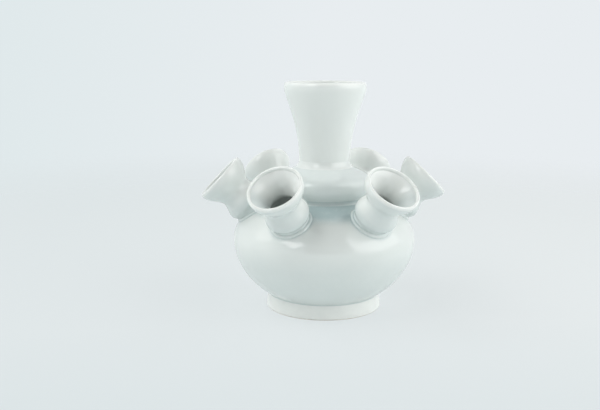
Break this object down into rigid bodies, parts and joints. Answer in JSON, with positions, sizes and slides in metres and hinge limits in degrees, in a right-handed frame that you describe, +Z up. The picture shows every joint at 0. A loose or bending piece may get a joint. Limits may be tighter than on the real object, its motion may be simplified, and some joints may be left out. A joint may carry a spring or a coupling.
{
  "type": "tulip vase",
  "caption": "Small white glazed vase for cut flowers: a round body on a foot ring, a squat knop, a trumpet neck, and flared spouts that lean out of the shoulder for single stems.",
  "frame": {"origin": "centre of the foot ring's underside", "axes": "+Z up through the neck; -Y the front, the side the picture shows; +X to the right seen from the front, through the mouths of two opposite spouts"},
  "size_m": [0.1694, 0.153, 0.155],
  "materials": {
    "white_glaze": "glossy",
    "pooled_glaze": "glossy"
  },
  "bodies": {
    "root": {"foot_ring": "white_glaze", "body": "white_glaze", "knop": "white_glaze", "neck": "white_glaze", "spout_front_right": "white_glaze", "spout_right": "white_glaze", "spout_back_right": "white_glaze", "spout_back_left": "white_glaze", "spout_left": "white_glaze", "spout_front_left": "white_glaze", "knop_slip_ring": "pooled_glaze", "neck_slip_ring": "pooled_glaze", "slip_ring_front_right": "pooled_glaze", "slip_ring_right": "pooled_glaze", "slip_ring_back_right": "pooled_glaze", "slip_ring_back_left": "pooled_glaze", "slip_ring_left": "pooled_glaze", "slip_ring_front_left": "pooled_glaze"}
  },
  "joints": []
}
